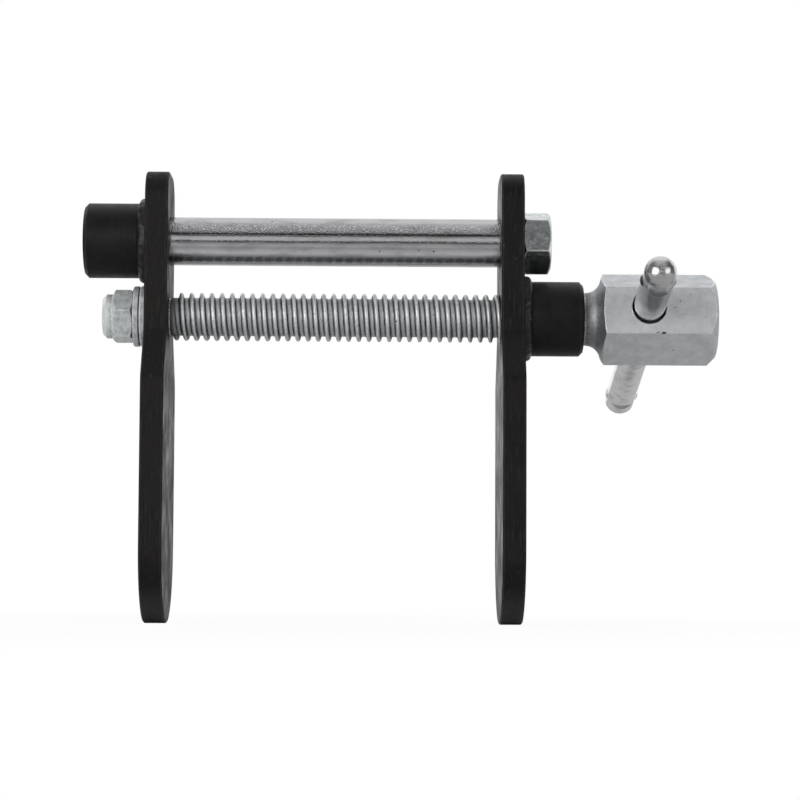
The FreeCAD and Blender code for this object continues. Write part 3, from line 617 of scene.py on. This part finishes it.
def satin_zinc(name, threaded):
    """The screw's plating, with the marks and painted light of its threaded shank or of its neck and head."""
    material, tree, shader = start_material(name, metallic=SATIN_METALLIC)
    blotch = add_effect(tree, GRAIN, Scale=210.0, Detail=6.0)
    fine = add_effect(tree, GRAIN, Scale=1900.0, Detail=3.0)
    grit = add_effect(tree, GRAIN, Scale=900.0, Detail=2.0)
    arris = add_effect(tree, EDGE_WEAR_AND_HIGHLIGHT, Width=0.9 * MM, Breaks=300.0)
    pits = add_effect(tree, SPECKS, Scale=470.0, Share=0.09, Size=0.22)
    flecks = add_effect(tree, SPECKS, Scale=800.0, Share=0.10, Size=0.24)
    colour = add_blend(tree, add_map(tree, blotch, 0.2, 0.9, 0, 0.8), SATIN_ZINC, SATIN_CLOUD)
    colour = add_blend(tree, add_map(tree, grit, 0.6, 1, 0, 0.5), colour, SATIN_CLOUD)
    colour = add_blend(tree, add_math(tree, "MULTIPLY", flecks, 0.6), colour, ZINC_FLECK_AND_HIGHLIGHT)
    patchy = add_map(tree, add_math(tree, "MULTIPLY", blotch, grit), 0, 0.5, 1, 0.6)
    if threaded:
        colour = paint_thread_marks_and_light(tree, colour, grit, patchy)
    else:
        colour = paint_head_marks_and_light(tree, colour, grit, patchy, arris)
        tree.links.new(add_map(tree, arris, 0, 1, SATIN_METALLIC, 1), shader.inputs["Metallic"])
    colour = add_blend(tree, add_math(tree, "MULTIPLY", pits, 0.75), colour, ZINC_PIT)
    roughness = add_map(tree, add_math(tree, "ADD", blotch, fine), 0.3, 1.7, 0.42, 0.60)
    roughness = add_math(tree, "MULTIPLY", roughness, add_map(tree, arris, 0, 1, 1, 0.30))
    height = add_math(tree, "ADD", add_math(tree, "MULTIPLY", grit, 0.6), fine)
    height = add_math(tree, "SUBTRACT", height, pits)
    finish_material(tree, shader, colour, roughness, height, 0.06 * MM, 0 if threaded else ZINC_ARRIS)
    return material


def thread_radius(share, along):
    """The radius at a share of the thread's height; the ridge starts low and the groove runs out."""
    rising = min(1, max(0, (along - THREAD_START) / THREAD_RISE))
    leaving = min(1, max(0, (THREAD_END - along) / THREAD_RUN_OUT))
    share = share * math.sin(rising * math.pi / 2)
    share = 1 - (1 - share) * leaving
    return THREAD_ROOT + share * (THREAD_CREST - THREAD_ROOT)


def cut_thread(work):
    """The threaded shank: one section swept along the helix, closed at both ends."""
    per_turn = THREAD_COLUMNS
    rows = len(THREAD_SECTION)
    first = THREAD_START + THREAD_TRIM
    steps = int(per_turn * (THREAD_END - THREAD_TRIM - first - THREAD_PITCH) / THREAD_PITCH)
    points = {}

    def ring_point(step, along, radius):
        angle = math.radians(THREAD_TURN) + math.tau * step / per_turn
        return work.verts.new((along, radius * math.cos(angle), SCREW_AXIS_Z + radius * math.sin(angle)))

    def point(step, row):
        if row == rows and step + per_turn <= steps:
            step, row = step + per_turn, 0
        if (step, row) not in points:
            share = THREAD_SECTION[row % rows][1]
            offset = 1 if row == rows else THREAD_SECTION[row][0]
            along = first + THREAD_PITCH * (step / per_turn + offset)
            points[step, row] = ring_point(step, along, thread_radius(share, along))
        return points[step, row]

    for step in range(steps):
        for row in range(rows):
            work.faces.new((point(step, row), point(step, row + 1),
                            point(step + 1, row + 1), point(step + 1, row)))
    start_radius = THREAD_ROOT - THREAD_SINK
    start = [ring_point(step, THREAD_START - THREAD_LAP, start_radius) for step in range(per_turn)]
    for step in range(per_turn - 1):
        work.faces.new((start[step], start[step + 1], point(step + 1, 0), point(step, 0)))
    seam = [point(0, row) for row in range(rows + 1)]
    work.faces.new([start[-1], start[0]] + seam + [point(per_turn - 1, 0)])
    work.faces.new(start)
    base = steps - per_turn
    end = {step: ring_point(step, THREAD_END + THREAD_LAP, THREAD_CREST)
           for step in range(base + 1, steps + 1)}
    for step in range(base + 1, steps):
        work.faces.new((point(step, rows), point(step + 1, rows), end[step + 1], end[step]))
    seam = [point(steps, row) for row in range(rows, 0, -1)]
    work.faces.new([point(steps, 0), point(base + 1, rows), end[base + 1], end[steps]] + seam)
    work.faces.new(list(end.values()))


def turn_screw():
    """The spigot, neck and head as they were turned and milled, with the plain shank cut to a thread."""
    work = bmesh.new()
    work.from_mesh(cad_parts["lead_screw"].data)
    bmesh.ops.remove_doubles(work, verts=work.verts, dist=SAME_POINT)
    bmesh.ops.dissolve_degenerate(work, edges=work.edges, dist=SLIVER_EDGE)
    bmesh.ops.dissolve_limit(work, verts=work.verts, edges=work.edges, angle_limit=math.radians(FLAT_ANGLE))
    everything = work.verts[:] + work.edges[:] + work.faces[:]
    bmesh.ops.bisect_plane(work, geom=everything, plane_co=(THREAD_START, 0, 0), plane_no=(1, 0, 0))
    plain = [face for face in work.faces
             if THREAD_START < face.calc_center_median().x < THREAD_END - FACE_MARGIN]
    bmesh.ops.delete(work, geom=plain, context="FACES")
    rims = [edge for edge in work.edges if edge.is_boundary]
    bmesh.ops.holes_fill(work, edges=rims, sides=0)
    cut_thread(work)
    return finish_mesh("threaded_screw", work, SCREW_SHARP)


screw = turn_screw()
screw.data.materials.append(satin_zinc("satin zinc head", False))
screw.data.materials.append(satin_zinc("satin zinc thread", True))
for polygon in screw.data.polygons:
    on_shank = THREAD_START < polygon.center.x < THREAD_END
    polygon.material_index = 1 if on_shank else 0
for edge, sharp in zip(screw.data.edges, screw.data.attributes["sharp_edge"].data):
    if all(THREAD_START < screw.data.vertices[end].co.x < THREAD_END for end in edge.vertices):
        sharp.value = False
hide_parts("lead_screw")
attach(screw, "screw")


# The sliding bar is polished round bar, loose in the head's cross hole. Its ends are domed, and each is
# pinched in a press just behind the dome, which raises two ears that stop it from falling out. It is
# painted darker behind the near dome, a painted dark reflection, its rims carry painted highlights, and
# the dome itself is dented.
BAR_STEEL = (0.68, 0.68, 0.685, 1)
BAR_CLOUD = (0.16, 0.16, 0.165, 1)
BAR_PAINTED_DARK = (0.20, 0.20, 0.205, 1)
BAR_DARK_SPAN = (-52 * MM, -48 * MM, -34 * MM, -22 * MM)
DOME_SPAN = (-53 * MM, -50 * MM)
DOME_DENTS = 4.5


def polished_bar():
    material, tree, shader = start_material("polished bar", metallic=1.0)
    blotch = add_effect(tree, GRAIN, Scale=260.0, Detail=5.0)
    fine = add_effect(tree, GRAIN, Scale=2400.0, Detail=2.0)
    pits = add_effect(tree, SPECKS, Scale=600.0, Share=0.08, Size=0.20)
    arris = add_effect(tree, EDGE_WEAR_AND_HIGHLIGHT, Width=0.5 * MM, Breaks=500.0)
    colour = add_blend(tree, add_map(tree, blotch, 0.45, 1, 0, 0.5), BAR_STEEL, BAR_CLOUD)
    depth = split_axes(tree, add_place(tree))["Y"]
    # Painted reflection: darker over a span behind the near dome.
    dark_reflection = add_math(tree, "MULTIPLY", add_map(tree, depth, *BAR_DARK_SPAN[:2], 0, 0.9),
                    add_map(tree, depth, *BAR_DARK_SPAN[2:], 1, 0, True))
    colour = add_blend(tree, dark_reflection, colour, BAR_PAINTED_DARK)
    # Painted highlight: the bar's sharp edges are painted near white.
    colour = add_blend(tree, arris, colour, ZINC_FLECK_AND_HIGHLIGHT)
    colour = add_blend(tree, add_math(tree, "MULTIPLY", pits, 0.8), colour, ZINC_PIT)
    roughness = add_map(tree, add_math(tree, "ADD", blotch, fine), 0.3, 1.7, 0.03, 0.11)
    height = add_math(tree, "ADD", blotch, add_math(tree, "MULTIPLY", fine, 0.2))
    height = add_math(tree, "SUBTRACT", height, add_math(tree, "MULTIPLY", pits, 0.3))
    height = add_math(tree, "MULTIPLY", height, add_map(tree, depth, *DOME_SPAN, DOME_DENTS, 1))
    finish_material(tree, shader, colour, roughness, height, 0.04 * MM)
    return material


dress("slide_bar", polished_bar())


# The tool stands on its round feet on a sheet of white paper under soft studio light, with white behind
# and below it and a darker room in front, which is what the bright metal has its bands from.
FLOOR_GAP = 0.02 * MM
FLOOR_REACH = 6.0
WHITE = (1, 1, 1, 1)
PAPER_BANDS = (
    (-1.50, 0.10), (-1.15, 0.04), (-0.90, 0.22), (-0.50, 0.52), (-0.30, 0.74), (-0.21, 0.50),
    (-0.15, 0.60), (-0.10, 0.62), (0.06, 0.56), (0.18, 0.40), (0.23, 0.90), (0.50, 0.95))
PAPER_SHOWN = 0.94
PAPER_MIRRORED = 0.04
SHADOW_REACH = 0.16
PAPER_CLEAR = 0.42
STUDIO_BANDS = (
    (-180, 0.90), (-90, 0.50), (-2, 0.44), (2, 0.50), (12, 0.48), (18, 0.36), (23, 0.10), (27, 0.03),
    (33, 0.03), (37, 0.12), (42, 0.30), (52, 0.41), (63, 0.37), (75, 0.42), (88, 0.46), (97, 0.58),
    (104, 0.70), (122, 0.68), (136, 0.64), (154, 0.68), (180, 0.80))
SIDE_SPAN = (0.30, 0.62)
STUDIO_LEFT = 0.16
STUDIO_RIGHT = 0.10
STUDIO_BACKDROP = 0.75
BACKDROP_SPAN = (0.20, 0.50)
STUDIO_STRENGTH = 1.30
SOFTBOX_WIDTH = 0.7
SOFTBOX_HEIGHT = 0.9
TOOL_MIDDLE = (cad_low + cad_high) / 2


def white_paper():
    """White where the camera sees it, shaded near the tool, and in bands where the metal mirrors it."""
    material = bpy.data.materials.new("white paper")
    material.use_nodes = True
    tree = material.node_tree
    tree.nodes.remove(tree.nodes["Principled BSDF"])
    place = add_place(tree)
    depth = split_axes(tree, place)["Y"]
    grain = add_effect(tree, GRAIN, Scale=60.0, Detail=3.0)
    tone = add_ramp(tree, depth, PAPER_BANDS)
    tone = add_blend(tree, add_math(tree, "MULTIPLY", grain, 0.05), tone, WHITE)
    path = add_node(tree, "ShaderNodeLightPath").outputs
    tone = add_blend(tree, path["Is Camera Ray"], tone, WHITE)
    matt = add_node(tree, "ShaderNodeBsdfDiffuse", {"Color": tone})
    shown = add_node(tree, "ShaderNodeEmission", {"Color": WHITE, "Strength": 1.0})
    away = add_node(tree, "ShaderNodeVectorMath", {0: place}, operation="LENGTH").outputs["Value"]
    clear = add_map(tree, away, SHADOW_REACH, PAPER_CLEAR, PAPER_SHOWN, 1, True)
    seen = add_math(tree, "MULTIPLY", path["Is Camera Ray"], clear)
    mirrored = add_math(tree, "MAXIMUM", path["Is Glossy Ray"], path["Is Transmission Ray"])
    amount = add_math(tree, "ADD", seen, add_math(tree, "MULTIPLY", mirrored, PAPER_MIRRORED))
    mixed = add_node(tree, "ShaderNodeMixShader", {0: amount, 1: matt.outputs[0], 2: shown.outputs[0]})
    tree.links.new(mixed.outputs[0], tree.nodes["Material Output"].inputs["Surface"])
    return material


def lay_floor():
    """The sheet of paper, just under the paddles' feet."""
    work = bmesh.new()
    bmesh.ops.create_grid(work, x_segments=1, y_segments=1, size=FLOOR_REACH,
                          matrix=Matrix.Translation((0, 0, cad_low.z - FLOOR_GAP)))
    mesh = bpy.data.meshes.new("paper_floor")
    work.to_mesh(mesh)
    work.free()
    floor = bpy.data.objects.new("paper_floor", mesh)
    bpy.context.scene.collection.objects.link(floor)
    mesh.materials.append(white_paper())
    return floor


def light_studio():
    """White to the camera. What the metal mirrors goes by the climb, in degrees, and to each side."""
    world = bpy.data.worlds.new("studio")
    bpy.context.scene.world = world
    world.use_nodes = True
    tree = world.node_tree
    way = add_node(tree, "ShaderNodeTexCoord").outputs["Generated"]
    part = split_axes(tree, way)
    toward_viewer = add_math(tree, "MULTIPLY", part["Y"], -1)
    climb = add_math(tree, "ARCTAN2", part["Z"], toward_viewer)
    degrees = add_math(tree, "MULTIPLY", climb, 180 / math.pi)
    bands = add_ramp(tree, degrees, STUDIO_BANDS, 1.01)
    sideways = add_map(tree, add_math(tree, "ABSOLUTE", part["X"]), *SIDE_SPAN, 0, 1, True)
    sides = add_map(tree, part["X"], -SIDE_SPAN[0], SIDE_SPAN[0], STUDIO_LEFT, STUDIO_RIGHT)
    sides = add_map(tree, part["Y"], *BACKDROP_SPAN, sides, STUDIO_BACKDROP, True)
    around = add_blend(tree, sideways, bands, sides)
    seen = add_node(tree, "ShaderNodeLightPath").outputs["Is Camera Ray"]
    colour = add_blend(tree, seen, around, WHITE)
    background = tree.nodes["Background"].inputs
    tree.links.new(colour, background["Color"])
    tree.links.new(add_map(tree, seen, 0, 1, STUDIO_STRENGTH, 1), background["Strength"])


def hang_lamp(name, place, watts):
    """A softbox at the place, aimed at the tool."""
    lamp = bpy.data.lights.new(name, "AREA")
    lamp.shape = "RECTANGLE"
    lamp.size = SOFTBOX_WIDTH
    lamp.size_y = SOFTBOX_HEIGHT
    lamp.energy = watts
    holder = bpy.data.objects.new(name, lamp)
    bpy.context.scene.collection.objects.link(holder)
    holder.location = place
    holder.rotation_euler = (TOOL_MIDDLE - Vector(place)).to_track_quat("-Z", "Y").to_euler()


lay_floor()
light_studio()
for lamp_name, lamp_place, watts in (("left_softbox", (-0.72, -0.98, 0.22), 6.8),
                                     ("right_softbox", (1.05, -0.85, 0.22), 3.4)):
    hang_lamp(lamp_name, lamp_place, watts)


# The photograph is taken from just below the pads' middle, a metre in front, with a long lens. Where it
# stands and how it is turned, in radians, come from fitting it to the outline of the tool.
CAMERA_PLACE = Vector((77.336, -998.073, -28.412)) * MM
CAMERA_YAW = 0.01358
CAMERA_CLIMB = 0.07103
CAMERA_ROLL = 0.00514
LENS_MM = 114.212
SENSOR_MM = 36


def set_camera():
    camera = bpy.data.cameras.new("camera")
    camera.sensor_width = SENSOR_MM
    camera.lens = LENS_MM
    camera.clip_start = 0.01
    camera.clip_end = 50
    ahead = Vector((math.sin(CAMERA_YAW) * math.cos(CAMERA_CLIMB),
                    math.cos(CAMERA_YAW) * math.cos(CAMERA_CLIMB), math.sin(CAMERA_CLIMB)))
    level_right = Vector((math.cos(CAMERA_YAW), -math.sin(CAMERA_YAW), 0))
    level_up = level_right.cross(ahead)
    right = level_right * math.cos(CAMERA_ROLL) + level_up * math.sin(CAMERA_ROLL)
    up = right.cross(ahead)
    holder = bpy.data.objects.new("camera", camera)
    bpy.context.scene.collection.objects.link(holder)
    turn = Matrix((right, up, -ahead)).transposed().to_4x4()
    holder.matrix_world = Matrix.Translation(CAMERA_PLACE) @ turn
    bpy.context.scene.camera = holder
    bpy.context.scene.view_settings.view_transform = "Standard"


set_camera()
